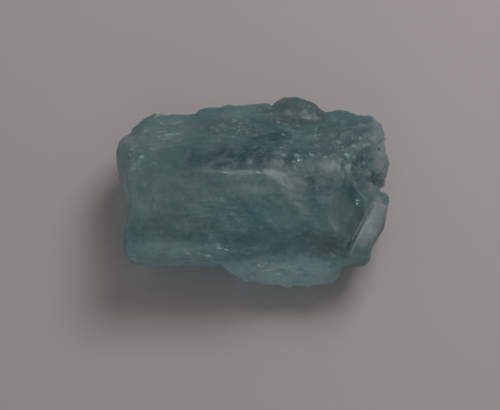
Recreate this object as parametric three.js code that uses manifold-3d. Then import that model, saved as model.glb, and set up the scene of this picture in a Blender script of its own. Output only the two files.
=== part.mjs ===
// A rough aquamarine: a broken length of one beryl crystal, lying on its side.
// Millimetres, +Z up. The crystal's c axis, along which beryl grows and is striated, is X.
// The front of the stone faces -Y, its broken ends face -X and +X, and it rests on Z = 0.
//
// The stone is one solid, made as it came about: blades that grew side by side along the c axis
// are joined, the whole is broken off round its outline, knobs are left where the right end was
// etched, a ledge and a sliver stay standing at the front, shells are struck out of it, and a
// notch parts the sliver from the rest.

import * as THREE from "three";
import { mergeVertices } from "three/addons/utils/BufferGeometryUtils.js";
import Module from "manifold-3d";

const wasm = await Module();
wasm.setup();

// ---------------------------------------------------------------- driving dimensions

const TOP = 17; // the roof ridge's height over the resting face
const GIRTH = 8; // the height at which the stone is widest
const LEFT = -26; // past the left end: blades that run out there are cut off by the outline
const RIGHT = 26; // past the right end
const CUTTER = 60; // the side of the block that takes off all beyond a broken face

// How far the outline has drawn in, as a share of its size, at the resting face and at the roof.
const DRAWN_IN = { foot: 0.15, roof: 0.06 };
const WALL_STEPS = 7;

// Blades along the c axis. A section is [y, z], from its lowest front corner up the front and
// down the back. A blade's ends lean: each lean is how far X moves for each mm of [Y, Z].
const BLADES = {
  belly: {
    section: [
      [-8, 0], [-11.4, 3.6], [-12.6, 6.6], [-12.9, 9.2], [14.2, 9.2], [15, 7.2], [13.4, 4], [8.4, 0],
    ],
    from: LEFT,
    to: RIGHT,
  },
  roof: {
    section: [
      [-12.6, 8], [-13, 10.4], [-12.8, 13.2], [-11.6, 14.8], [-5, 16.4], [0.2, TOP],
      [4.6, 15.7], [8.8, 13.5], [12.2, 11.5], [14, 8.8],
    ],
    from: LEFT,
    to: 12.6,
    toLean: [-0.34, -2.2],
  },
  shoulder: {
    section: [
      [-12.2, 6], [-12.7, 11.4], [-11.2, 14.4], [-4.4, 16], [2.2, 16.3], [5.6, 14.9],
      [9.4, 12.9], [13, 10.8], [14.2, 8.4], [12, 5],
    ],
    from: 5,
    to: 20.6,
    toLean: [0.05, -0.55],
  },
  backRib: {
    section: [[9.4, 5], [10, 12.4], [12.4, 11.9], [14.6, 10.7], [15.8, 8.8], [15, 5.6]],
    from: -9.6,
    to: 11,
    fromLean: [-0.34, 0.1],
    toLean: [-0.4, -0.3],
  },
};

// Narrow blades that stand proud of the front as striae: lowest and highest z, and how far out.
const STRIAE = [
  { from: LEFT, to: -9.4, low: 8.2, high: 10.6, out: 13.3 },
  { from: -16, to: 1.6, low: 10.9, high: 12.4, out: 13.2 },
  { from: -13.5, to: -3.2, low: 5.8, high: 7.5, out: 12.6 },
  { from: 14.4, to: RIGHT, low: 7.2, high: 9.6, out: 13.1 },
];

// The stone at its girth, seen from above: [x, y], counter-clockwise from its front left corner.
const OUTLINE = [
  [-20.9, -12], [-19.4, -12.9], [-17, -13.2], [-6, -13], [14.6, -12.9], [18.9, -12.4], [19.4, -10.3],
  [19.9, -9.3], [21.5, -6.6], [22.1, -3.8], [22.6, -1], [22.1, 0.1], [20.8, 0], [20.7, 1.4],
  [22, 2.6], [22.6, 5.2], [22.2, 6.8], [21.3, 8.3], [21.7, 10], [20.9, 11.4], [19.8, 12.3],
  [18.2, 12.1], [17.6, 12.9], [16, 13.5], [14.2, 13.7], [12.8, 13.3], [11.2, 13.8], [10.3, 14.9],
  [8.9, 15.8], [7.4, 16.4], [5, 16.6], [4, 16.2], [3, 15], [-0.8, 14.7], [-4.2, 14.3],
  [-6.6, 13.9], [-8.9, 13.6], [-9.9, 12.9], [-12.9, 12.6], [-15, 12.9], [-17, 13], [-18.2, 12.7],
  [-19.3, 11.4], [-20.4, 10], [-20.9, 8.9], [-21.8, 8.3], [-22.6, 7.5], [-23, 5.8], [-22.8, 3.8],
  [-22, 0.6], [-21.1, -1.4], [-20.7, -3.2], [-20.6, -5.2], [-21, -7.4], [-21.5, -9], [-21.5, -10.8],
];

// Knobs left by etching round the right end and along the back: ellipsoids about each centre.
const KNOBS = {
  lobe: { at: [7.2, 12.6, 8], radii: [5.4, 4.4, 4.2], turn: -6 },
  back: { at: [14.9, 10.8, 8.4], radii: [3.5, 2.9, 3.6], turn: -14 },
  backCorner: { at: [19, 9.8, 8], radii: [2.7, 2.6, 3.4], turn: 40 },
  upper: { at: [19.6, 5.2, 8.8], radii: [2.9, 3.2, 3.8], turn: 10 },
  middle: { at: [15.6, 6.4, 11], radii: [3.2, 2.8, 3.1], turn: 30 },
  left: { at: [-18.6, 6.6, 9], radii: [3.8, 3.8, 3.6], turn: 0 },
};

// Broken faces that cut the stone all the way across. Each passes through a point, and faces
// azimuth degrees round from +X towards +Y, and rise degrees up from level.
const BREAKS = {
  roofLeft: { through: [-9, 0, 16.9], azimuth: 186, rise: 83 },
  roofRight: { through: [10, -4, 16.2], azimuth: -4, rise: 81 },
  rightCorner: { through: [18.2, -7.4, 11.2], azimuth: -28, rise: 40 },
  rightUnder: { through: [21.8, 2, 4.8], azimuth: 4, rise: -38 },
  leftBevel: { through: [-21.6, -4, 14.2], azimuth: 176, rise: 34 },
  leftBackSlope: { through: [-19.2, 9, 12.6], azimuth: 124, rise: 42 },
  leftUnder: { through: [-21.4, -6, 5.6], azimuth: 190, rise: -40 },
  backUnder: { through: [-4, 14.4, 5.6], azimuth: 96, rise: -40 },
};

// The sliver that still stands at the front right corner. It is a blade turned about Z and set
// down at its near end: a sharp ridge, with one broad facet falling away outwards from it.
const SLIVER = {
  section: [[1.4, 3], [1.1, 9], [0, 12.8], [-2.7, 10.2], [-4.6, 8], [-4.2, 4.6], [-1, 2.4]],
  from: -0.6,
  to: 11.4,
  fromLean: [0.5, -0.2],
  toLean: [-0.3, -0.25],
  turn: 62,
  at: [15.6, -12.2, 0],
};

// The notch between the sliver and the stone: a wedge struck out along the sliver, with one long
// side sloping down to it. It is a blade too, and turned and set down as the sliver is.
const NOTCH = {
  section: [[1, 10.9], [3.8, 12.8], [6.8, 17.5], [0.4, 17.5]],
  from: 1.8,
  to: 10.4,
  fromLean: [0.7, -0.5],
  toLean: [-0.2, 1.3],
  turn: SLIVER.turn,
  at: SLIVER.at,
};

// The ledge along the front of the right half: the root of a flake that broke off above it.
const LEDGE = {
  outline: [
    [-7, -9], [-6.2, -12.2], [-5, -13.1], [-2.6, -14.2], [0.2, -15], [2.8, -15.5], [5.4, -15.8],
    [8, -16.1], [9.8, -15.9], [12.3, -15.5], [13.8, -14.7], [14.3, -12.8], [14.8, -9],
  ],
  foot: 1.6,
  head: 11,
  breaks: [
    { through: [4, -12.4, 10.6], azimuth: -88, rise: 40 },
    { through: [4, -15.7, 5.6], azimuth: -92, rise: -40 },
    { through: [13.8, -14.7, 6.4], azimuth: -22, rise: 36 },
    { through: [13.9, -14.7, 6.4], azimuth: -28, rise: -38 },
    { through: [-5.2, -13, 6.8], azimuth: -140, rise: -36 },
  ],
};

// Shells struck out of the stone: ellipsoids, each turned about Z at its centre.
const SHELLS = {
  leftFoot: { at: [-23.4, 2, -0.4], radii: [5.4, 8, 4.4], turn: 12 },
  backSlope: { at: [2, 8.4, 22], radii: [13, 4.2, 8.6], turn: -3 },
  rightShoulder: { at: [21.6, -0.6, 18.6], radii: [6.6, 8.4, 6.8], turn: 16 },
  rightNotch: { at: [22, 0.9, 11.6], radii: [2.6, 1.5, 5.4], turn: 0 },
  overLedge: { at: [9.4, -18.7, 16.5], radii: [11.8, 9, 9], turn: 4 },
  frontFoot: { at: [-13, -15.2, 0.8], radii: [8, 5.2, 5], turn: -3 },
  frontFootRight: { at: [17.6, -13.4, 0.2], radii: [6, 5, 4.6], turn: 20 },
  backFoot: { at: [2, 18, 0.2], radii: [12, 7.4, 5.6], turn: -5 },
  rightFoot: { at: [24, 8, 0.4], radii: [6, 7, 4.6], turn: 0 },
};

const SHELL_FINENESS = 7; // how many times each edge of a round cutter's icosahedron is divided
const KNOB_FINENESS = 3;

// ---------------------------------------------------------------- joining and cutting

// A closed three.js geometry as a manifold-3d solid.
function solidOf(geometry) {
  const plain = geometry.index ? geometry.toNonIndexed() : geometry.clone();
  plain.deleteAttribute("normal");
  plain.deleteAttribute("uv");
  const merged = mergeVertices(plain, 1e-4);
  return new wasm.Manifold(
    new wasm.Mesh({
      numProp: 3,
      vertProperties: merged.attributes.position.array,
      triVerts: new Uint32Array(merged.index.array),
    }),
  );
}

// A manifold-3d solid as a three.js geometry.
function geometryOf(solid) {
  const mesh = solid.getMesh();
  const corners = new Float32Array(mesh.numVert * 3);
  for (let i = 0; i < mesh.numVert; i++) {
    const start = i * mesh.numProp;
    corners.set(mesh.vertProperties.subarray(start, start + 3), i * 3);
  }
  const geometry = new THREE.BufferGeometry();
  geometry.setAttribute("position", new THREE.BufferAttribute(corners, 3));
  geometry.setIndex(new THREE.BufferAttribute(mesh.triVerts, 1));
  geometry.computeVertexNormals();
  return geometry;
}

// An outline in [x, y], standing from one height to another.
function column(outline, foot, head) {
  const shape = new THREE.Shape(outline.map(([x, y]) => new THREE.Vector2(x, y)));
  const geometry = new THREE.ExtrudeGeometry(shape, { depth: head - foot, bevelEnabled: false });
  geometry.translate(0, 0, foot);
  return solidOf(geometry);
}

// The outline from the resting face to the roof, widest at the girth and drawn in above and below.
function roundedWall(outline) {
  const shape = new THREE.Shape(outline.map(([x, y]) => new THREE.Vector2(x, y)));
  const geometry = new THREE.ExtrudeGeometry(shape, {
    depth: TOP + 1,
    steps: WALL_STEPS,
    bevelEnabled: false,
  });
  const corners = geometry.attributes.position;
  for (let i = 0; i < corners.count; i++) {
    const z = corners.getZ(i);
    const [drawnIn, reach] = z < GIRTH ? [DRAWN_IN.foot, GIRTH] : [DRAWN_IN.roof, TOP - GIRTH];
    const share = 1 - drawnIn * ((z - GIRTH) / reach) ** 2;
    corners.setXY(i, corners.getX(i) * share, corners.getY(i) * share);
  }
  return solidOf(geometry);
}

// A section in [y, z], running along X between two leaning ends, then turned and set down.
function blade({ section, from, to, fromLean = [0, 0], toLean = [0, 0], turn = 0, at = [0, 0, 0] }) {
  const shape = new THREE.Shape(section.map(([y, z]) => new THREE.Vector2(y, z)));
  const geometry = new THREE.ExtrudeGeometry(shape, { depth: 1, bevelEnabled: false });
  const corners = geometry.attributes.position;
  const [middleY, middleZ] = [0, 1].map(
    (i) => section.reduce((sum, corner) => sum + corner[i], 0) / section.length,
  );
  for (let i = 0; i < corners.count; i++) {
    const [y, z] = [corners.getX(i), corners.getY(i)];
    const [end, lean] = corners.getZ(i) < 0.5 ? [from, fromLean] : [to, toLean];
    corners.setXYZ(i, end + lean[0] * (y - middleY) + lean[1] * (z - middleZ), y, z);
  }
  geometry.rotateZ(THREE.MathUtils.degToRad(turn));
  geometry.translate(...at);
  return solidOf(geometry);
}

function ellipsoid({ at, radii, turn }, fineness) {
  const geometry = new THREE.IcosahedronGeometry(1, fineness);
  geometry.scale(...radii);
  geometry.rotateZ(THREE.MathUtils.degToRad(turn));
  geometry.translate(...at);
  return solidOf(geometry);
}

// The solid with everything beyond a broken face taken off.
function brokenAt(solid, { through, azimuth, rise }) {
  const [around, up] = [azimuth, rise].map(THREE.MathUtils.degToRad);
  const outward = new THREE.Vector3(
    Math.cos(around) * Math.cos(up),
    Math.sin(around) * Math.cos(up),
    Math.sin(up),
  );
  const geometry = new THREE.BoxGeometry(CUTTER, CUTTER, CUTTER);
  geometry.translate(0, 0, CUTTER / 2);
  geometry.applyQuaternion(
    new THREE.Quaternion().setFromUnitVectors(new THREE.Vector3(0, 0, 1), outward),
  );
  geometry.translate(...through);
  return solid.subtract(solidOf(geometry));
}

// ---------------------------------------------------------------- the parts of the stone

function makeStria({ from, to, low, high, out }) {
  const root = out - 2;
  const section = [[-root, low], [-out, low + 0.4], [-out, high - 0.5], [-root, high]];
  return blade({ section, from, to, fromLean: [0.6, 0], toLean: [-0.6, 0] });
}

function makeBody() {
  const grown = [...Object.values(BLADES).map(blade), ...STRIAE.map(makeStria)];
  for (const knob of Object.values(KNOBS)) grown.push(ellipsoid(knob, KNOB_FINENESS));
  let body = grown.reduce((joined, each) => joined.add(each));
  for (const face of Object.values(BREAKS)) body = brokenAt(body, face);
  for (const shell of Object.values(SHELLS)) body = body.subtract(ellipsoid(shell, SHELL_FINENESS));
  return body.subtract(blade(NOTCH));
}

function makeLedge() {
  let ledge = column(LEDGE.outline, LEDGE.foot, LEDGE.head);
  for (const face of LEDGE.breaks) ledge = brokenAt(ledge, face);
  return ledge;
}

function makeStone() {
  const standing = makeBody().add(blade(SLIVER)).intersect(roundedWall(OUTLINE));
  return geometryOf(standing.add(makeLedge()));
}

// ---------------------------------------------------------------- the exported group

const stone = new THREE.Mesh(
  makeStone(),
  new THREE.MeshStandardMaterial({ color: 0x5f8085, roughness: 0.35, metalness: 0 }),
);
stone.name = "aquamarine_crystal";

// The origin is under the middle of the stone, on the face that it rests on.
stone.geometry.computeBoundingBox();
const middle = stone.geometry.boundingBox.getCenter(new THREE.Vector3());
stone.position.set(-middle.x, -middle.y, 0);

const group = new THREE.Group();
group.add(stone);

export default group;
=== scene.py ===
"""A rough aquamarine crystal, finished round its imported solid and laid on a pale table.

The crystal's c axis, along which beryl grows and is striated, is X. Its front faces -Y, its etched
end faces +X, and it rests on Z = 0. Sizes are in millimetres and are turned into metres by MM.
ABOVE, BELOW and OUTSIDE are heights and a distance, in mm, that are well clear of the stone.
"""

import logging
import math
import random
from dataclasses import dataclass, field
from enum import Enum

import bpy
import numpy as np
from mathutils import Matrix, Quaternion, Vector

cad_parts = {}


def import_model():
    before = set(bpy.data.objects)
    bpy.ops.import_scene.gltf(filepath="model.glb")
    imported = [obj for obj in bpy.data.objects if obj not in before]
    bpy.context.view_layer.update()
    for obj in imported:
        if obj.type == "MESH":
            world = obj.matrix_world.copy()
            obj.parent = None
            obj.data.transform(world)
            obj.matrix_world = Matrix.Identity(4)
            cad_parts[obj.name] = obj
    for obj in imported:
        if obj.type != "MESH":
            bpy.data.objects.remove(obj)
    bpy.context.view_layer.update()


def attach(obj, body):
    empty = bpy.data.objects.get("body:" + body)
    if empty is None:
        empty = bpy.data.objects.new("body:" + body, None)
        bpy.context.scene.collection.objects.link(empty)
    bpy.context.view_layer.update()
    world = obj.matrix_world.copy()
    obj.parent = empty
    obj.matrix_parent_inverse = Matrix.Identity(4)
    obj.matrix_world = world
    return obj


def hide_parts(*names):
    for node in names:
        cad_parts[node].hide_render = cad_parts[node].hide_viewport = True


MM = 0.001
NODE = "aquamarine_crystal"
BODY = "root"
REFRACTION = 1.577
ABOVE = 40.0
BELOW = -5.0
OUTSIDE = 60.0

log = logging.getLogger("aquamarine")

Colour = tuple[float, float, float]
Triple = tuple[float, float, float]
Range = tuple[float, float]
Socket = bpy.types.NodeSocket


class Bench:
    """The moves that every piece shares: picking it up, and working it with one tool at a time."""

    @staticmethod
    def clear() -> None:
        """Put everything down."""
        bpy.ops.object.select_all(action="DESELECT")

    @staticmethod
    def pick(*pieces: bpy.types.Object) -> None:
        """Select these pieces and nothing else, the last one active."""
        Bench.clear()
        for piece in pieces:
            piece.select_set(True)
        bpy.context.view_layer.objects.active = pieces[-1]

    @staticmethod
    def apply(piece: bpy.types.Object, kind: str, **settings: object) -> None:
        """Add a modifier, set it and apply it.

        Args:
            piece: the piece to work.
            kind: Blender's name for the modifier.
            settings: the modifier's own settings.
        """
        Bench.pick(piece)
        modifier = piece.modifiers.new(kind.title(), kind)
        for name, value in settings.items():
            setattr(modifier, name, value)
        bpy.ops.object.modifier_apply(modifier=modifier.name)

    @staticmethod
    def settle(piece: bpy.types.Object) -> None:
        """Move a piece's place, turn and scale into its mesh."""
        Bench.pick(piece)
        bpy.ops.object.transform_apply(location=True, rotation=True, scale=True)


@dataclass(frozen=True)
class Ramp:
    """A soft step in a value: start below low, end above high."""

    low: float
    high: float
    start: float = 0.0
    end: float = 1.0

    def over(self, values: np.ndarray) -> np.ndarray:
        """Take the step for every number of an array.

        Args:
            values: the numbers.

        Returns:
            The step's value for each.
        """
        share = np.clip((values - self.low) / (self.high - self.low), 0, 1)
        return self.start + (self.end - self.start) * share * share * (3 - 2 * share)


@dataclass(frozen=True)
class Noise:
    """Cloudy noise: how big its lumps are in mm, how far they are drawn out, and its finer layers."""

    size: float
    stretch: Triple = (1.0, 1.0, 1.0)
    detail: float = 3.0
    rough: float = 0.55
    warp: float = 0.0


@dataclass(frozen=True)
class Speckle:
    """Scattered specks: how far apart in mm, the share of the places that have one, how white."""

    spacing: float
    share: float
    strength: float


@dataclass(frozen=True)
class Patch:
    """A soft ellipsoid in the stone: its middle and half sizes in mm, and its turn about Z in degrees.

    Its edge is as wide as a share of its size, and noise breaks it up as deeply as ragged says.
    """

    centre: Triple
    radii: Triple
    strength: float = 1.0
    turn: float = 0.0
    edge: float = 0.5
    ragged: float = 0.5


@dataclass(frozen=True)
class Zone(Patch):
    """A patch of the stone with its own tint, either a colour of the stone or painted light or shade."""

    ragged: float = 1.0
    colour: Colour = (1.0, 1.0, 1.0)


class Recipe:
    """A material's nodes, laid down one after another."""

    SPECK_EDGE = Ramp(0.15, 0.5, 1.0, 0.0)
    SPECK_SURE = 0.6
    SPECK_DRIFT = 0.8
    SPECK_WARP = 1.6
    BITE = 1.6

    def __init__(self, name: str) -> None:
        """Start an empty material.

        Args:
            name: the material's name.
        """
        self.material = bpy.data.materials.new(name)
        self.material.use_nodes = True
        self.nodes = self.material.node_tree.nodes
        self.nodes.clear()

    def add(self, kind: str, **settings: object) -> bpy.types.Node:
        """Lay down a node.

        Args:
            kind: the node's type.
            settings: the node's own settings.

        Returns:
            The node.
        """
        node = self.nodes.new(kind)
        for name, value in settings.items():
            setattr(node, name, value)
        return node

    def feed(self, node: bpy.types.Node, **inputs: object) -> bpy.types.Node:
        """Set or link a node's inputs.

        Args:
            node: the node to feed.
            inputs: a socket or a value for each input, by its name with _ for a space, or by in and its
                number.

        Returns:
            The same node.
        """
        for name, value in inputs.items():
            key = int(name[2:]) if name[:2] == "in" and name[2:].isdigit() else name.replace("_", " ")
            if isinstance(value, Socket):
                self.material.node_tree.links.new(value, node.inputs[key])
            else:
                node.inputs[key].default_value = value
        return node

    def millimetres(self, stretch: Triple = (1.0, 1.0, 1.0)) -> Socket:
        """Object coordinates in millimetres.

        Args:
            stretch: how many times each axis is drawn out, so that a pattern on it is that much longer.

        Returns:
            A vector socket.
        """
        place = self.add("ShaderNodeTexCoord").outputs["Object"]
        scale = [1.0 / (MM * drawn) for drawn in stretch]
        return self.feed(self.add("ShaderNodeMapping"), Vector=place, Scale=scale).outputs["Vector"]

    def noise(self, noise: Noise) -> Socket:
        """Cloudy noise, about 0 to 1.

        Args:
            noise: its sizes.

        Returns:
            A value socket.
        """
        node = self.feed(
            self.add("ShaderNodeTexNoise"), Vector=self.millimetres(noise.stretch), Scale=1.0 / noise.size,
            Detail=noise.detail, Roughness=noise.rough, Distortion=noise.warp,
        )
        return node.outputs["Fac"]

    def specks(self, speckle: Speckle) -> Socket:
        """Separate soft irregular specks, as strong as they say in their middles and 0 between them.

        Args:
            speckle: their spacing, share and strength; they are about half as wide as their spacing.

        Returns:
            A value socket.
        """
        spacing = speckle.spacing
        place = self.millimetres()
        drift = self.feed(
            self.add("ShaderNodeTexNoise"), Vector=place, Scale=self.SPECK_WARP / spacing, Detail=2.0
        )
        moved = self.feed(
            self.add("ShaderNodeVectorMath", operation="MULTIPLY_ADD"),
            in0=drift.outputs["Color"], in1=(self.SPECK_DRIFT * spacing,) * 3, in2=place,
        )
        cells = self.feed(self.add("ShaderNodeTexVoronoi"), Vector=moved.outputs[0], Scale=1.0 / spacing)
        chance = self.feed(self.add("ShaderNodeSeparateColor"), Color=cells.outputs["Color"])
        here = Ramp(1.0 - speckle.share, 1.0 - self.SPECK_SURE * speckle.share, 0.0, speckle.strength)
        specks = self.step(cells.outputs["Distance"], self.SPECK_EDGE)
        return self.sum("MULTIPLY", self.step(chance.outputs[0], here), specks)

    def step(self, value: Socket, ramp: Ramp) -> Socket:
        """A soft step from one value to another.

        Args:
            value: what is tested.
            ramp: the step.

        Returns:
            A value socket.
        """
        node = self.feed(
            self.add("ShaderNodeMapRange", interpolation_type="SMOOTHSTEP"), Value=value,
            From_Min=ramp.low, From_Max=ramp.high, To_Min=ramp.start, To_Max=ramp.end,
        )
        return node.outputs["Result"]

    def sum(self, operation: str, a: Socket | float, b: Socket | float) -> Socket:
        """One line of arithmetic.

        Args:
            operation: what is done.
            a: the first value.
            b: the second value.

        Returns:
            A value socket.
        """
        return self.feed(self.add("ShaderNodeMath", operation=operation), in0=a, in1=b).outputs[0]

    def blend(self, share: Socket, a: Socket | Colour, b: Socket | Colour) -> Socket:
        """One colour turning into another as share goes from 0 to 1.

        Args:
            share: how much there is of the second colour.
            a: the first colour.
            b: the second colour.

        Returns:
            A colour socket.
        """
        node = self.add("ShaderNodeMix", data_type="RGBA")
        self.material.node_tree.links.new(share, node.inputs[0])
        for socket, colour in ((node.inputs[6], a), (node.inputs[7], b)):
            if isinstance(colour, Socket):
                self.material.node_tree.links.new(colour, socket)
            else:
                socket.default_value = (*colour, 1.0)
        return node.outputs[2]

    def spot(self, patch: Patch, border: Socket) -> Socket:
        """A patch of the stone: its strength inside and 0 outside.

        Args:
            patch: where it is.
            border: noise about 0 to 1 that breaks up its edge.

        Returns:
            A value socket.
        """
        turn = (0.0, 0.0, math.radians(-patch.turn))
        moved = self.feed(
            self.add("ShaderNodeVectorMath", operation="SUBTRACT"), in0=self.millimetres(), in1=patch.centre
        ).outputs[0]
        turned = self.feed(self.add("ShaderNodeMapping"), Vector=moved, Rotation=turn).outputs[0]
        scaled = self.feed(
            self.add("ShaderNodeVectorMath", operation="DIVIDE"), in0=turned, in1=patch.radii
        ).outputs[0]
        reach = self.feed(self.add("ShaderNodeVectorMath", operation="LENGTH"), in0=scaled).outputs["Value"]
        bite = self.sum("MULTIPLY", self.sum("SUBTRACT", border, 0.5), self.BITE * patch.ragged)
        edge = Ramp(1.0 - patch.edge, 1.0 + patch.edge, patch.strength, 0.0)
        return self.step(self.sum("ADD", reach, bite), edge)


@dataclass(frozen=True)
class Veining:
    """Noise that pales the stone where it is high and darkens it where it is low."""

    noise: Noise
    pale: Ramp
    dark: Ramp


@dataclass(frozen=True)
class BerylFinish:
    """Translucent blue-green beryl: waxy outside, tinted by depth, with milky, dark and streaked zones,
    painted glow at its thin rims, painted shade in its hollows and a painted highlight on its edges and
    crease.
    """

    body: Colour = (0.25, 0.43, 0.44)
    milky: Colour = (0.46, 0.58, 0.55)
    deep: Colour = (0.095, 0.25, 0.31)
    pale: Colour = (0.82, 0.93, 0.92)
    frost: Colour = (0.78, 0.96, 0.95)
    absorbed: Colour = (0.30, 0.70, 0.73)
    density: float = 54.0
    shine: float = 0.15
    clearness: float = 0.76
    glow_reach: float = 3.0
    glow_radii: Triple = (0.45, 1.0, 1.0)
    skin: Noise = Noise(2.4, (3, 1, 1), 4.0)
    dullness: Ramp = Ramp(0.35, 0.7, 0.42, 0.6)
    grain: Noise = Noise(0.5, detail=4.0)
    grain_height: float = 0.05
    hairlines: Noise = Noise(0.22, (30, 1, 1), 2.0)
    hairline_height: float = 0.02
    relief_strength: float = 0.5
    clouds: Veining = Veining(
        Noise(6.0, (1.8, 1, 1), 5.0, 0.6, 0.4), Ramp(0.42, 0.7, 0.0, 0.8), Ramp(0.28, 0.44, 0.6, 0.0)
    )
    streaks: Veining = Veining(
        Noise(0.9, (9, 1, 1), 4.0, 0.6, 0.6), Ramp(0.52, 0.75, 0.0, 0.26), Ramp(0.25, 0.47, 0.4, 0.0)
    )
    mottle: Veining = Veining(
        Noise(1.1, detail=5.0, rough=0.7), Ramp(0.54, 0.72, 0.0, 0.33), Ramp(0.3, 0.46, 0.5, 0.0)
    )
    dust: Veining = Veining(
        Noise(0.3, (1.6, 1, 1), 2.0, 0.7), Ramp(0.55, 0.75, 0.0, 0.4), Ramp(0.25, 0.45, 0.4, 0.0)
    )
    border: Noise = Noise(3.0, (1.8, 1, 1), 5.0, 0.65, 0.5)
    wisps: Noise = Noise(0.42, (7, 1, 1), 3.0, 0.6, 0.4)
    wisp_edge: Ramp = Ramp(0.56, 0.68, 0.0, 0.85)
    dots: Speckle = Speckle(1.25, 0.62, 0.95)
    fine_dots: Speckle = Speckle(0.6, 0.5, 0.75)
    stray_dots: Speckle = Speckle(0.9, 0.2, 0.3)
    # Pointiness steps: painted shade in the hollows and creases, and paler convex edges that are partly
    # wear and partly a painted highlight.
    shaded_hollows: Ramp = Ramp(0.44, 0.495, 0.5, 0.0)
    worn_and_lit_edges: Ramp = Ramp(0.505, 0.55, 0.0, 0.35)
    zones: tuple[Zone, ...] = (
        Zone((-14.5, -4.5, 14.0), (6.0, 8.0, 8.0), 0.6, colour=(0.37, 0.50, 0.46)),
        Zone((-1.0, 2.8, 16.0), (9.8, 2.5, 5.0), 0.95, colour=(0.045, 0.19, 0.23)),
        Zone((2.7, 7.6, 13.6), (3.2, 3.0, 5.0), 0.85, colour=(0.06, 0.22, 0.27)),
        Zone((-0.6, -2.5, 16.7), (5.4, 1.9, 3.0), 0.6, colour=(0.56, 0.70, 0.66)),
        # A pale line along the crease: partly a pale streak, partly a painted highlight on the crease's
        # rim.
        Zone((0.2, -0.2, 16.8), (8.5, 0.4, 3.0), 0.45, -1.0, 0.6, 0.7, colour=(0.85, 0.92, 0.91)),
        Zone((12.2, -2.0, 15.8), (4.8, 3.2, 5.0), 0.8, colour=(0.075, 0.21, 0.23)),
        Zone((7.0, 12.4, 11.0), (5.6, 3.6, 5.0), 0.9, colour=(0.13, 0.20, 0.20)),
        Zone((-3.0, 9.0, 13.4), (5.5, 2.6, 5.0), 0.5, colour=(0.20, 0.27, 0.27)),
        Zone((15.5, 6.5, 12.5), (4.8, 4.6, 6.0), 0.65, colour=(0.17, 0.26, 0.27)),
        Zone((-13.0, -9.5, 15.0), (7.5, 3.2, 4.0), 0.6, colour=(0.20, 0.32, 0.33)),
        Zone((0.4, -7.2, 15.9), (2.6, 1.2, 2.0), 0.7, colour=(0.16, 0.44, 0.54)),
        Zone((-15.2, 7.6, 13.5), (5.5, 4.0, 6.0), 0.65, colour=(0.50, 0.62, 0.60)),
        # The left end, painted pale: painted glow where light leaves the stone.
        Zone((-21.5, 1.5, 9.0), (2.2, 9.0, 9.0), 0.75, colour=(0.826, 0.94, 0.91)),
        Zone((12.8, -11.1, 12.6), (4.0, 1.7, 5.0), 0.75, colour=(0.28, 0.30, 0.31)),
        Zone((6.0, -11.8, 13.5), (4.4, 1.4, 3.0), 0.7, colour=(0.32, 0.50, 0.52)),
        Zone((13.8, -6.4, 14.0), (1.9, 3.0, 4.0), 0.7, -28.0, colour=(0.50, 0.58, 0.53)),
        Zone((21.6, 5.5, 9.0), (2.2, 6.0, 8.0), 0.7, colour=(0.90, 0.92, 0.92)),
        # The lip, painted bright: painted glow, as if from light passed through the stone.
        Zone((5.0, -14.7, 8.0), (11.5, 2.6, 5.0), 0.97, 0.0, 0.3, 0.5, colour=(0.74, 1.0, 1.0)),
        Zone((2.3, -14.1, 9.0), (2.6, 0.9, 3.0), 0.95, -28.0, colour=(0.85, 1.0, 1.0)),
        # The front bevel band, painted lighter: painted glow at a thin rim.
        Zone((-13.0, -13.0, 12.0), (10.0, 1.5, 5.5), 0.75, colour=(0.62, 0.78, 0.78)),
        Zone((19.4, -6.9, 11.0), (1.7, 5.4, 3.5), 0.85, -28.0, 0.2, 0.25, colour=(0.96, 0.96, 0.96)),
        # A thin dark line beside the chip: painted shade in the gap between the body and the chip.
        Zone((16.9, -8.9, 12.0), (0.4, 4.4, 4.0), 0.85, -28.0, 0.35, 0.2, colour=(0.06, 0.13, 0.14)),
    )
    specked: tuple[Patch, ...] = (
        Patch((5.5, 8.4, 13.0), (0.9, 2.4, 9.0), 1.0, 25.0),
        Patch((10.5, 7.9, 13.0), (0.9, 2.8, 9.0), 1.0, -30.0),
        Patch((9.0, 2.4, 15.5), (3.6, 1.3, 9.0)),
        Patch((15.6, 4.5, 13.0), (4.0, 5.5, 9.0), 0.8),
        Patch((-18.6, 2.0, 13.0), (2.8, 1.8, 9.0)),
        Patch((-4.0, 9.0, 12.5), (4.0, 1.8, 9.0), 0.8),
        Patch((2.4, -14.1, 9.0), (3.0, 1.1, 9.0), 1.0, -20.0),
        Patch((-6.0, -12.2, 13.0), (3.0, 0.7, 9.0)),
        Patch((12.0, -12.6, 9.0), (4.6, 0.8, 9.0)),
        Patch((19.4, -6.9, 11.0), (1.8, 5.4, 9.0), 0.8, -28.0),
    )
    streaked: tuple[Patch, ...] = (
        Patch((-15.5, 7.6, 12.0), (5.4, 3.6, 9.0)),
        Patch((-6.0, -7.2, 15.5), (5.5, 1.8, 9.0), 0.7),
        Patch((1.0, -0.4, 16.5), (6.5, 0.8, 9.0), 0.9),
        Patch((4.0, -14.2, 8.5), (10.0, 2.0, 9.0)),
        Patch((-12.0, -12.8, 11.0), (8.0, 1.2, 9.0), 0.7),
    )

    def material(self) -> bpy.types.Material:
        """The finished material."""
        r = Recipe("beryl")
        shader = r.add("ShaderNodeBsdfPrincipled")
        rough = r.step(r.noise(self.skin), self.dullness)
        r.feed(shader, Base_Color=self._tint(r), Roughness=rough, Normal=self._relief(r))
        r.feed(
            shader, IOR=REFRACTION, Specular_IOR_Level=self.shine, Transmission_Weight=self.clearness,
            Subsurface_Weight=1.0, Subsurface_Scale=self.glow_reach * MM, Subsurface_Radius=self.glow_radii,
        )
        absorb = r.add("ShaderNodeVolumeAbsorption")
        r.feed(absorb, Color=(*self.absorbed, 1.0), Density=self.density)
        out = r.add("ShaderNodeOutputMaterial")
        r.feed(out, Surface=shader.outputs[0], Volume=absorb.outputs[0])
        return r.material

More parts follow.
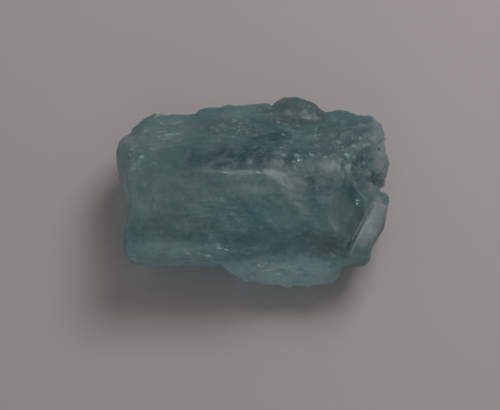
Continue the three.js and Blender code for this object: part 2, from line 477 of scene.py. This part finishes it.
    def _tint(self, r: Recipe) -> Socket:
        """The stone's colour from place to place, with painted glow at its rims, painted shade in its
        hollows and a painted highlight on its edges.

        Args:
            r: the material being made.

        Returns:
            A colour socket.
        """
        border = r.noise(self.border)
        colour = self._vein(r, self.clouds, self.body, self.milky)
        for zone in self.zones:
            colour = r.blend(r.spot(zone, border), colour, zone.colour)
        for veining in (self.streaks, self.mottle):
            colour = self._vein(r, veining, colour, self.pale)
        specked = self._within(r, self.specked, border)
        streaked = self._within(r, self.streaked, border)
        wisps = r.step(r.noise(self.wisps), self.wisp_edge)
        for inside, marks in (
            (specked, r.specks(self.dots)), (specked, r.specks(self.fine_dots)), (streaked, wisps),
        ):
            colour = r.blend(r.sum("MULTIPLY", inside, marks), colour, self.frost)
        colour = r.blend(r.specks(self.stray_dots), colour, self.frost)
        # Painted shade darkens the hollows and creases; the convex edges are paled, partly as wear and
        # partly as a painted highlight.
        edge = r.add("ShaderNodeNewGeometry").outputs["Pointiness"]
        colour = r.blend(r.step(edge, self.shaded_hollows), colour, self.deep)
        colour = r.blend(r.step(edge, self.worn_and_lit_edges), colour, self.pale)
        return self._vein(r, self.dust, colour, self.pale)

    def _vein(self, r: Recipe, veining: Veining, colour: Socket | Colour, light: Colour) -> Socket:
        """Run one veining through a colour.

        Args:
            r: the material being made.
            veining: the veining.
            colour: the colour before it.
            light: the colour of its pale veins.

        Returns:
            A colour socket.
        """
        noise = r.noise(veining.noise)
        colour = r.blend(r.step(noise, veining.pale), colour, light)
        return r.blend(r.step(noise, veining.dark), colour, self.deep)

    def _within(self, r: Recipe, places: tuple[Patch, ...], border: Socket) -> Socket:
        """How far inside any of these places the skin is, from 0 to 1.

        Args:
            r: the material being made.
            places: the places.
            border: noise that breaks up their edges.

        Returns:
            A value socket.
        """
        inside = r.spot(places[0], border)
        for place in places[1:]:
            inside = r.sum("MAXIMUM", inside, r.spot(place, border))
        return inside

    def _relief(self, r: Recipe) -> Socket:
        """The finest surface: growth lines too narrow for the mesh, and a waxy grain.

        Args:
            r: the material being made.

        Returns:
            A normal socket.
        """
        grain = r.sum("MULTIPLY", r.noise(self.grain), self.grain_height)
        lines = r.sum("MULTIPLY", r.noise(self.hairlines), self.hairline_height)
        bump = r.feed(
            r.add("ShaderNodeBump"), Height=r.sum("ADD", grain, lines), Strength=self.relief_strength,
            Distance=MM,
        )
        return bump.outputs["Normal"]


@dataclass(frozen=True)
class FlawFinish:
    """What is sealed in the stone, plain all over: cracks that catch the light, or dark grains."""

    name: str
    colour: Colour
    roughness: float = 0.5

    def material(self) -> bpy.types.Material:
        """The finished material."""
        r = Recipe(self.name)
        shader = r.add("ShaderNodeBsdfPrincipled")
        r.feed(shader, Base_Color=(*self.colour, 1.0), Roughness=self.roughness, IOR=REFRACTION)
        r.feed(r.add("ShaderNodeOutputMaterial"), Surface=shader.outputs[0])
        return r.material


class Mask(Enum):
    """Where on the stone a relief is cut."""

    ALL = "all"
    PRISM = "prism"
    ENDS = "ends"
    ETCHED = "etched"
    SIDES = "sides"
    MELTED = "melted"


class Pattern(Enum):
    """What a relief is cut with: a texture's type and its settings."""

    SWELL = ("CLOUDS", {"noise_depth": 2})
    GRAIN = ("CLOUDS", {"noise_depth": 4})
    LUMPS = ("VORONOI", {"distance_metric": "DISTANCE", "weight_1": 1.0})
    STEPS = ("CLOUDS", {"noise_depth": 1, "noise_type": "HARD_NOISE"})


@dataclass(frozen=True)
class Relief:
    """One relief, cut over a part of the stone."""

    name: str
    pattern: Pattern
    size: Triple
    depth: float
    mask: Mask = Mask.ALL

    def cut(self, piece: bpy.types.Object) -> None:
        """Cut it into a piece.

        Args:
            piece: the mesh to cut, which has a vertex group of the mask's name.
        """
        kind, settings = self.pattern.value
        texture = bpy.data.textures.new(self.name, kind)
        for name, value in settings.items():
            setattr(texture, name, value)
        texture.noise_scale = 1.0
        Bench.clear()
        bpy.ops.object.empty_add(location=(0, 0, 0))
        ruler = bpy.context.object
        ruler.scale = [side * MM for side in self.size]
        bpy.context.view_layer.update()
        Bench.apply(
            piece, "DISPLACE", texture=texture, texture_coords="OBJECT", texture_coords_object=ruler,
            strength=self.depth * MM, mid_level=0.5, vertex_group=self.mask.value,
        )
        bpy.data.objects.remove(ruler)


@dataclass
class Stone:
    """The whole crystal, one piece."""

    cell: float = 0.235
    weld: float = 0.001
    melt: float = 0.5
    melt_rounds: int = 4
    top_melt_rounds: int = 120
    levels: int = 20
    off_table: Ramp = Ramp(0.4, 2.0)
    etched_x: Ramp = Ramp(10.5, 16.0)
    beside_chip: Ramp = Ramp(-3.1, -0.1)
    chip_x: Ramp = Ramp(15.0, 16.5)
    back_x: Ramp = Ramp(-10.0, 2.0)
    back_y: Ramp = Ramp(9.0, 13.0)
    struck_x: Ramp = Ramp(-1.0, 2.0)
    struck_y: Ramp = Ramp(-2.0, 0.0, 1.0, 0.0)
    struck_up: Ramp = Ramp(0.2, 0.4)
    pitted_x: Ramp = Ramp(12.0, 14.0)
    pitted_y: Ramp = Ramp(-3.5, -1.5)
    pitted_z: Ramp = Ramp(8.0, 10.0)
    upward: Ramp = Ramp(0.5, 0.9)
    flat_top: Ramp = Ramp(0.8, 0.93)
    chip_calm: float = 0.6
    prism_power: float = 1.5
    prism_calm: float = 0.8
    back_etch: float = 0.45
    etched_top_calm: float = 0.5
    side_top_calm: float = 0.75
    struck_melt: float = 0.9
    pitted_melt: float = 0.4
    finish: BerylFinish = field(default_factory=BerylFinish)
    reliefs: tuple[Relief, ...] = (
        Relief("swell", Pattern.SWELL, (11.0, 9.0, 8.0), 1.1),
        Relief("growth ledges", Pattern.STEPS, (26.0, 2.4, 2.4), 0.3, Mask.SIDES),
        Relief("striae", Pattern.SWELL, (16.0, 0.9, 0.9), 0.09, Mask.PRISM),
        Relief("etched knobs", Pattern.LUMPS, (2.8, 2.8, 2.8), 0.9, Mask.ETCHED),
        Relief("etched pits", Pattern.LUMPS, (1.3, 1.3, 1.3), 0.55, Mask.ETCHED),
        Relief("etched grain", Pattern.GRAIN, (0.8, 0.8, 0.8), 0.45, Mask.ETCHED),
        Relief("rim chips", Pattern.GRAIN, (1.9, 1.9, 1.7), 1.1, Mask.SIDES),
        Relief("fracture waves", Pattern.SWELL, (2.2, 4.0, 3.0), 0.4, Mask.ENDS),
        Relief("wear", Pattern.GRAIN, (2.4, 1.6, 1.6), 0.2),
    )
    piece: bpy.types.Object | None = None

    def build(self) -> bpy.types.Object:
        """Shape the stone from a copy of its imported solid.

        Returns:
            The finished piece.
        """
        Bench.clear()
        solid = bpy.data.objects[NODE]
        mesh = solid.data.copy()
        piece = bpy.data.objects.new("aquamarine", mesh)
        bpy.context.scene.collection.objects.link(piece)
        Bench.pick(piece)
        bpy.ops.object.mode_set(mode="EDIT")
        bpy.ops.mesh.select_all(action="SELECT")
        bpy.ops.mesh.remove_doubles(threshold=self.weld * MM)
        bpy.ops.object.mode_set(mode="OBJECT")
        Bench.apply(piece, "REMESH", mode="VOXEL", voxel_size=self.cell * MM)
        Bench.apply(piece, "SMOOTH", factor=self.melt, iterations=self.melt_rounds)
        self._mask(piece)
        Bench.apply(
            piece, "SMOOTH", factor=self.melt, iterations=self.top_melt_rounds,
            vertex_group=Mask.MELTED.value,
        )
        for relief in self.reliefs:
            self._mask(piece)
            relief.cut(piece)
        Bench.pick(piece)
        bpy.ops.object.shade_smooth()
        piece.vertex_groups.clear()
        piece.data.materials.clear()
        piece.data.materials.append(self.finish.material())
        self.piece = piece
        return piece

    def seat(self, start: Triple, way: Triple) -> tuple[Vector, Vector] | None:
        """Where a line meets the stone's skin.

        Args:
            start: a point outside the stone, in mm.
            way: the direction that it looks in.

        Returns:
            The point and the skin's outward direction there, in metres, or None where the line misses.
        """
        hit, point, normal, _ = self.piece.ray_cast(Vector(start) * MM, Vector(way).normalized())
        return (point, normal) if hit else None

    def seat_from_above(self, x: float, y: float) -> tuple[Vector, Vector] | None:
        """Where the skin is first met on the way down at x and y, in mm."""
        return self.seat((x, y, ABOVE), (0, 0, -1))

    def seat_from_below(self, x: float, y: float) -> tuple[Vector, Vector] | None:
        """Where the skin is first met on the way up at x and y, in mm."""
        return self.seat((x, y, BELOW), (0, 0, 1))

    def _mask(self, piece: bpy.types.Object) -> None:
        """Weigh every corner for each mask.

        Args:
            piece: the mesh, which gets a vertex group of each mask's name.
        """
        mesh = piece.data
        place = np.empty(len(mesh.vertices) * 3)
        facing = np.empty(len(mesh.vertices) * 3)
        mesh.vertices.foreach_get("co", place)
        mesh.vertices.foreach_get("normal", facing)
        weights = self._weights(place.reshape(-1, 3) / MM, facing.reshape(-1, 3))
        for mask, weight in weights.items():
            group = piece.vertex_groups.get(mask.value) or piece.vertex_groups.new(name=mask.value)
            steps = np.round(weight * self.levels).astype(int)
            for step in range(self.levels + 1):
                corners = np.nonzero(steps == step)[0].tolist()
                group.add(corners, step / self.levels, "REPLACE")

    def _weights(self, place: np.ndarray, facing: np.ndarray) -> dict[Mask, np.ndarray]:
        """How strongly each mask holds at each corner, by its place and by the way it faces.

        Args:
            place: the corners' places, in mm.
            facing: the skin's outward directions there.

        Returns:
            The weights from 0 to 1 for each mask.
        """
        x, y, z = place.T
        rise = facing[:, 2]
        end_on = np.abs(facing[:, 0])
        off_table = self.off_table.over(z)
        beside_chip = self.beside_chip.over(y)
        etched = self.etched_x.over(x) * beside_chip
        back = self.back_y.over(y) * self.back_x.over(x)
        chip = self.chip_x.over(x) * (1 - beside_chip)
        upward = self.upward.over(rise)
        struck = self.struck_x.over(x) * self.struck_y.over(y) * self.struck_up.over(rise)
        pitted = self.pitted_x.over(x) * self.pitted_y.over(y) * self.pitted_z.over(z)
        along = (1 - end_on) ** self.prism_power
        etching = np.maximum(etched, self.back_etch * back)
        melting = (self.flat_top.over(rise), self.struck_melt * struck, self.pitted_melt * pitted)
        side = (1 - end_on) * (1 - etched) * (1 - chip)
        return {
            Mask.ALL: off_table * (1 - self.chip_calm * chip),
            Mask.PRISM: off_table * along * (1 - self.prism_calm * etched) * (1 - chip),
            Mask.ENDS: off_table * end_on * (1 - etched) * (1 - chip),
            Mask.ETCHED: off_table * etching * (1 - self.etched_top_calm * upward),
            Mask.MELTED: np.maximum.reduce(melting) * (1 - chip),
            Mask.SIDES: off_table * side * (1 - self.side_top_calm * upward),
        }


@dataclass(frozen=True)
class Cluster:
    """A group of flaws of one kind, seen through one place on the skin."""

    at: tuple[float, float]
    spread: tuple[float, float]
    count: int
    length: float
    depth: float = 0.09
    turn: float = 0.0


@dataclass
class Flaws:
    """Small closed chips of one finish, sealed just under the skin and joined into one piece."""

    name: str
    finish: FlawFinish
    clusters: tuple[Cluster, ...]
    slim: float = 0.5
    thin: float = 0.12
    tilt: float = 9.0
    sides: int = 7
    scattered: int = 0
    seed: int = 5
    least_rise: float = 0.1
    length_range: Range = (0.6, 1.35)
    width_range: Range = (0.6, 1.4)
    depth_range: Range = (0.5, 1.6)
    rim_range: Range = (0.65, 1.2)
    face_range: Range = (0.6, 1.2)
    stray: Range = (8.0, 12.0)
    scatter_middle: Triple = (17.0, 8.0, 7.5)
    scatter_rise: Range = (-0.3, 0.6)
    scatter_length: Range = (0.25, 0.7)
    scatter_depth: Range = (0.1, 0.6)
    scatter_floor: float = 1.5

    def build(self, stone: Stone) -> bpy.types.Object:
        """Seat every chip in the stone.

        Args:
            stone: the finished stone.

        Returns:
            The joined piece.
        """
        dice = random.Random(self.seed)
        chips = self._clustered(dice, stone) + self._scattered(dice, stone)
        Bench.pick(*chips)
        bpy.ops.object.join()
        piece = bpy.context.object
        piece.name = self.name
        Bench.settle(piece)
        piece.data.materials.clear()
        piece.data.materials.append(self.finish.material())
        return piece

    def _clustered(self, dice: random.Random, stone: Stone) -> list[bpy.types.Object]:
        """The chips of every cluster, seated from above.

        Args:
            dice: where their irregularities come from.
            stone: the finished stone.

        Returns:
            The chips.
        """
        chips = []
        for cluster in self.clusters:
            for _ in range(cluster.count):
                x = cluster.at[0] + dice.gauss(0, 0.5) * cluster.spread[0]
                y = cluster.at[1] + dice.gauss(0, 0.5) * cluster.spread[1]
                seat = stone.seat_from_above(x, y)
                if seat and seat[1].z > self.least_rise:
                    chips.append(self._chip(dice, seat, cluster.length, cluster.depth, cluster.turn))
        return chips

    def _scattered(self, dice: random.Random, stone: Stone) -> list[bpy.types.Object]:
        """The chips that lie anywhere in the skin, seated from all round.

        Args:
            dice: where their irregularities come from.
            stone: the finished stone.

        Returns:
            The chips.
        """
        chips = []
        far_x, far_y, height = self.scatter_middle
        for _ in range(self.scattered):
            spin, rise = dice.uniform(0, 2 * math.pi), dice.uniform(*self.scatter_rise)
            out = Vector((math.cos(spin) * math.cos(rise), math.sin(spin) * math.cos(rise), math.sin(rise)))
            middle = Vector((dice.uniform(-far_x, far_x), dice.uniform(-far_y, far_y), height))
            seat = stone.seat(middle + out * OUTSIDE, -out)
            if seat and seat[0].z > self.scatter_floor * MM:
                length, depth = dice.uniform(*self.scatter_length), dice.uniform(*self.scatter_depth)
                chips.append(self._chip(dice, seat, length, depth, 0.0))
        return chips

    def _chip(
        self, dice: random.Random, seat: tuple[Vector, Vector], length: float, depth: float, turn: float,
    ) -> bpy.types.Object:
        """One chip: a low drum, its rim knocked out of round and its faces lifted a little.

        Args:
            dice: where its irregularities come from.
            seat: the point of the skin over it, and the skin's outward direction.
            length: how long it is, in mm.
            depth: how far it lies below the skin, in mm.
            turn: degrees that its long side is turned about Z from X.

        Returns:
            The chip.
        """
        point, out = seat
        size = length * dice.uniform(*self.length_range)
        sunk = depth * dice.uniform(*self.depth_range) * MM
        Bench.clear()
        bpy.ops.mesh.primitive_cylinder_add(
            vertices=self.sides, radius=0.5 * MM, depth=MM, end_fill_type="TRIFAN", location=(0, 0, 0)
        )
        chip = bpy.context.object
        for corner in chip.data.vertices:
            push = dice.uniform(*self.rim_range)
            corner.co.x *= push
            corner.co.y *= push
            corner.co.z *= dice.uniform(*self.face_range)
        flat = Vector((math.cos(math.radians(turn)), math.sin(math.radians(turn)), 0))
        along = (flat - out * flat.dot(out)).normalized()
        stray = [math.radians(dice.gauss(0, reach)) for reach in (self.tilt, *self.stray)]
        chip.rotation_mode = "QUATERNION"
        chip.rotation_quaternion = Matrix((along, out.cross(along), out)).transposed().to_quaternion()
        for axis, angle in zip(((1, 0, 0), (0, 1, 0), (0, 0, 1)), stray):
            chip.rotation_quaternion @= Quaternion(axis, angle)
        chip.scale = (size, size * self.slim * dice.uniform(*self.width_range), size * self.thin)
        chip.location = point - out * sunk
        return chip


@dataclass(frozen=True)
class Veil:
    """A healed crack or a milky patch: trapped droplets, thickest at its middle."""

    middle: Triple
    half: Triple
    droplets: int
    turn: float = 0.0
    dip: float = 0.0


@dataclass
class Haze:
    """Everything milky in the stone, as one piece of many tiny closed droplets."""

    name: str
    finish: FlawFinish
    veils: tuple[Veil, ...]
    droplet: float = 0.06
    size_range: Range = (0.55, 1.5)
    side_range: Range = (0.7, 1.3)
    drawn_out: Triple = (1.6, 1.0, 1.0)
    wave: float = 0.35
    wave_turns: Triple = (5.0, 7.0, 4.0)
    wave_start: float = 2.0
    cover: float = 0.25
    seed: int = 21

    def build(self, stone: Stone) -> bpy.types.Object:
        """Fill the veils with copies of one droplet.

        Args:
            stone: the finished stone, which they stay inside.

        Returns:
            The joined piece.
        """
        size = self.droplet * MM
        Bench.clear()
        bpy.ops.mesh.primitive_cone_add(
            vertices=4, radius1=size, depth=size, end_fill_type="TRIFAN", location=(0, 0, size / 2)
        )
        piece = bpy.context.object
        piece.name = self.name
        Bench.settle(piece)
        shape = np.array([corner.co for corner in piece.data.vertices])
        near_axis = np.hypot(shape[:, 0], shape[:, 1]) < size / 2
        shape[near_axis & (shape[:, 2] < size / 2), 2] = -size
        faces = np.array([list(face.vertices) for face in piece.data.polygons])
        dice = np.random.default_rng(self.seed)
        spots = [spot for veil in self.veils for spot in self._spots(veil, dice, stone)]
        corners, shells = [], []
        for number, spot in enumerate(spots):
            stretch = dice.uniform(*self.size_range) * dice.uniform(*self.side_range, 3) * self.drawn_out
            corners.append(shape * stretch + np.array(spot) * MM)
            shells.append(faces + number * len(shape))
        mesh = bpy.data.meshes.new(self.name)
        mesh.from_pydata(np.concatenate(corners).tolist(), [], np.concatenate(shells).tolist())
        piece.data = mesh
        mesh.materials.append(self.finish.material())
        return piece

    def _spots(self, veil: Veil, dice: np.random.Generator, stone: Stone) -> list[Triple]:
        """Places for one veil's droplets, all well inside the stone.

        Args:
            veil: the veil.
            dice: where its irregularities come from.
            stone: the finished stone.

        Returns:
            The places, in mm.
        """
        turn = Matrix.Rotation(math.radians(veil.turn), 3, "Z")
        lie = turn @ Matrix.Rotation(math.radians(veil.dip), 3, "X")
        once, twice, skew = self.wave_turns
        places = []
        for along, across, off in dice.normal(0, 0.5, (veil.droplets, 3)):
            swing = math.sin(once * along + self.wave_start) + math.sin(twice * across + skew * along)
            ripple = self.wave * swing
            local = Vector((veil.half[0] * along, veil.half[1] * across, veil.half[2] * (off + ripple)))
            place = Vector(veil.middle) + lie @ local
            above = stone.seat_from_above(place.x, place.y)
            below = stone.seat_from_below(place.x, place.y)
            if above and below and below[0].z / MM + self.cover < place.z < above[0].z / MM - self.cover:
                places.append(tuple(place))
        return places


@dataclass(frozen=True)
class TableFinish:
    """Plain pale board."""

    colour: Colour = (0.48, 0.43, 0.42)
    roughness: float = 0.9

    def material(self) -> bpy.types.Material:
        """The finished material."""
        r = Recipe("pale board")
        shader = r.add("ShaderNodeBsdfPrincipled")
        r.feed(shader, Base_Color=(*self.colour, 1.0), Roughness=self.roughness)
        r.feed(r.add("ShaderNodeOutputMaterial"), Surface=shader.outputs[0])
        return r.material


@dataclass(frozen=True)
class Lamp:
    """A soft square lamp that points at the stone."""

    name: str
    power: float
    width: float
    place: Triple

    def hang(self) -> None:
        """Put the lamp in the scene, out of the camera's sight."""
        light = bpy.data.lights.new(self.name, "AREA")
        light.energy = self.power
        light.size = self.width * MM
        lamp = bpy.data.objects.new(self.name, light)
        lamp.location = [part * MM for part in self.place]
        lamp.rotation_euler = (-Vector(lamp.location)).to_track_quat("-Z", "Y").to_euler()
        lamp.visible_camera = False
        bpy.context.scene.collection.objects.link(lamp)


@dataclass
class Studio:
    """The table, the lamps and the camera."""

    table_width: float = 4000.0
    table_drop: float = 0.02
    elevation: float = 70.0
    distance: float = 300.0
    frame_width: float = 83.3
    nearest: float = 10.0
    aim: Triple = (-0.47, -2.6, 7.65)
    sky: Colour = (0.225, 0.225, 0.235)
    lamps: tuple[Lamp, ...] = (
        Lamp("key", 0.425, 150.0, (110.0, 140.0, 250.0)),
        Lamp("front fill", 0.06, 130.0, (-20.0, -240.0, 65.0)),
    )

    def build(self) -> bpy.types.Object:
        """Set up the table, the lamps and the camera.

        Returns:
            The table.
        """
        Bench.clear()
        bpy.ops.mesh.primitive_plane_add(size=self.table_width * MM, location=(0, 0, -self.table_drop * MM))
        table = bpy.context.object
        table.name = "table"
        table.data.materials.append(TableFinish().material())
        self._light()
        self._camera()
        return table

    def _light(self) -> None:
        """A soft key lamp above the stone's back right, a weak low fill, and an even sky."""
        world = bpy.data.worlds.new("sky")
        world.use_nodes = True
        world.node_tree.nodes["Background"].inputs[0].default_value = (*self.sky, 1.0)
        bpy.context.scene.world = world
        for lamp in self.lamps:
            lamp.hang()

    def _camera(self) -> None:
        """A camera that looks down on the stone from its front."""
        rise = math.radians(self.elevation)
        aim = Vector(self.aim) * MM
        lens = bpy.data.cameras.new("camera")
        lens.lens = lens.sensor_width * self.distance / self.frame_width
        lens.clip_start = self.nearest * MM
        camera = bpy.data.objects.new("camera", lens)
        away = Vector((0, -math.cos(rise), math.sin(rise)))
        camera.location = aim + away * self.distance * MM
        camera.rotation_euler = (math.radians(90) - rise, 0, 0)
        bpy.context.scene.collection.objects.link(camera)
        bpy.context.scene.camera = camera
        bpy.context.scene.view_settings.view_transform = "Standard"


FRACTURE = FlawFinish("fracture white", (0.56, 0.74, 0.73))
TUBE = FlawFinish("tube white", (0.50, 0.66, 0.65))
GRAIN = FlawFinish("dark grain", (0.012, 0.03, 0.035), 0.6)
MILK = FlawFinish("trapped droplets", (0.80, 0.86, 0.84))


def flaws() -> list[Flaws]:
    """Everything sealed near the stone's skin.

    Returns:
        One piece's worth for each kind.
    """
    return [
        Flaws(
            "fracture_flakes", FRACTURE,
            (
                Cluster((5.5, 8.4), (0.9, 1.9), 9, 0.6, turn=-60.0),
                Cluster((10.5, 7.9), (0.9, 2.2), 10, 0.55, turn=60.0),
                Cluster((8.8, 2.6), (3.0, 0.8), 12, 0.6),
                Cluster((9.7, 0.5), (0.8, 0.5), 4, 0.6),
                Cluster((14.4, 1.9), (2.0, 1.2), 8, 0.45),
                Cluster((15.0, 6.5), (4.5, 4.0), 26, 0.32),
                Cluster((-18.6, 2.0), (2.6, 1.6), 26, 0.4),
                Cluster((-7.8, 9.5), (1.2, 0.8), 3, 0.4),
                Cluster((-3.4, 9.2), (2.0, 2.8), 8, 0.4),
                Cluster((5.0, 14.0), (1.0, 0.5), 4, 0.4),
                Cluster((2.2, -14.0), (2.6, 0.9), 34, 0.55, 0.07, -25.0),
                Cluster((-6.2, -12.2), (2.4, 0.4), 12, 0.5, 0.12),
                Cluster((12.0, -12.6), (5.0, 0.5), 12, 0.5),
                Cluster((18.8, -6.6), (1.2, 4.0), 30, 0.4, 0.04, 62.0),
                Cluster((17.3, -4.4), (0.3, 0.8), 5, 1.1, 0.12, 75.0),
            ),
            scattered=60,
        ),
        Flaws(
            "growth_tubes", TUBE,
            (
                Cluster((-15.0, 7.5), (5.6, 3.4), 34, 1.9),
                Cluster((-6.8, -7.2), (6.0, 1.6), 16, 1.4),
                Cluster((0.0, -0.3), (7.0, 0.4), 9, 1.8),
                Cluster((-6.4, -12.2), (2.2, 0.2), 6, 1.3),
                Cluster((5.0, 5.5), (9.0, 5.0), 16, 1.3),
                Cluster((4.0, -14.4), (7.0, 0.9), 30, 1.6, 0.06),
                Cluster((-12.0, -12.8), (9.0, 0.6), 16, 1.6),
            ),
            slim=0.07, thin=0.05, tilt=16.0, sides=5, scattered=110, seed=11,
        ),
        Flaws(
            "dark_grains", GRAIN,
            (
                Cluster((5.0, -9.2), (0.4, 0.3), 2, 0.6, 0.3),
                Cluster((6.0, -6.7), (0.5, 0.4), 2, 0.6, 0.3),
                Cluster((16.9, 1.8), (0.6, 0.4), 3, 0.6, 0.3),
                Cluster((15.5, -6.9), (0.4, 0.4), 3, 0.6, 0.4),
                Cluster((21.0, 6.0), (0.2, 0.2), 1, 0.45, 0.1),
                Cluster((-5.0, -3.5), (9.0, 4.0), 4, 0.5, 0.5),
            ),
            slim=0.7, thin=0.5, seed=3,
        ),
    ]


def haze() -> Haze:
    """The stone's milky patches and healed cracks.

    Returns:
        Them all, as one piece's worth.
    """
    return Haze(
        "milky_veils", MILK,
        (
            Veil((-14.5, -4.0, 12.0), (6.0, 7.5, 2.2), 2300),
            Veil((-0.6, -2.4, 15.8), (5.0, 1.8, 0.3), 650),
            Veil((-15.0, 7.2, 12.4), (5.0, 3.2, 1.0), 900),
            Veil((-7.0, -5.0, 14.4), (4.5, 1.5, 0.5), 350),
            Veil((2.0, -6.8, 14.4), (3.6, 1.0, 0.4), 260),
            Veil((-4.0, 6.8, 13.0), (4.5, 1.6, 0.8), 350),
            Veil((16.5, 5.4, 11.0), (4.6, 6.0, 2.4), 1100),
            Veil((2.6, -13.7, 8.7), (3.6, 1.6, 0.4), 450, 0.0, 54.0),
            Veil((9.0, -13.7, 8.7), (5.0, 1.6, 0.4), 400, 0.0, 54.0),
            Veil((19.2, -6.6, 10.4), (1.2, 4.5, 0.7), 500, -28.0),
            Veil((-12.5, -11.4, 11.0), (8.0, 1.6, 0.6), 800, 0.0, 80.0),
            Veil((-8.0, -10.6, 6.5), (6.0, 2.4, 0.4), 450, 0.0, 86.0),
            Veil((-3.0, 12.0, 7.0), (7.5, 2.4, 0.5), 450, 0.0, 94.0),
            Veil((-19.8, -3.0, 8.0), (3.0, 5.0, 0.5), 300, 90.0, 80.0),
            Veil((20.2, 3.5, 8.0), (4.0, 3.0, 0.5), 300, 88.0, 84.0),
        ),
    )


def main() -> None:
    """Build the crystal and what is sealed in it, then the table, lamps and camera round it."""
    logging.basicConfig(level=logging.INFO, format="%(message)s")
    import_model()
    stone = Stone()
    body = stone.build()
    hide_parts(NODE)
    pieces = [body, haze().build(stone)] + [kind.build(stone) for kind in flaws()]
    for piece in pieces:
        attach(piece, BODY)
        log.info("%s: %d faces", piece.name, len(piece.data.polygons))
    Studio().build()


if __name__ == "__main__":
    main()
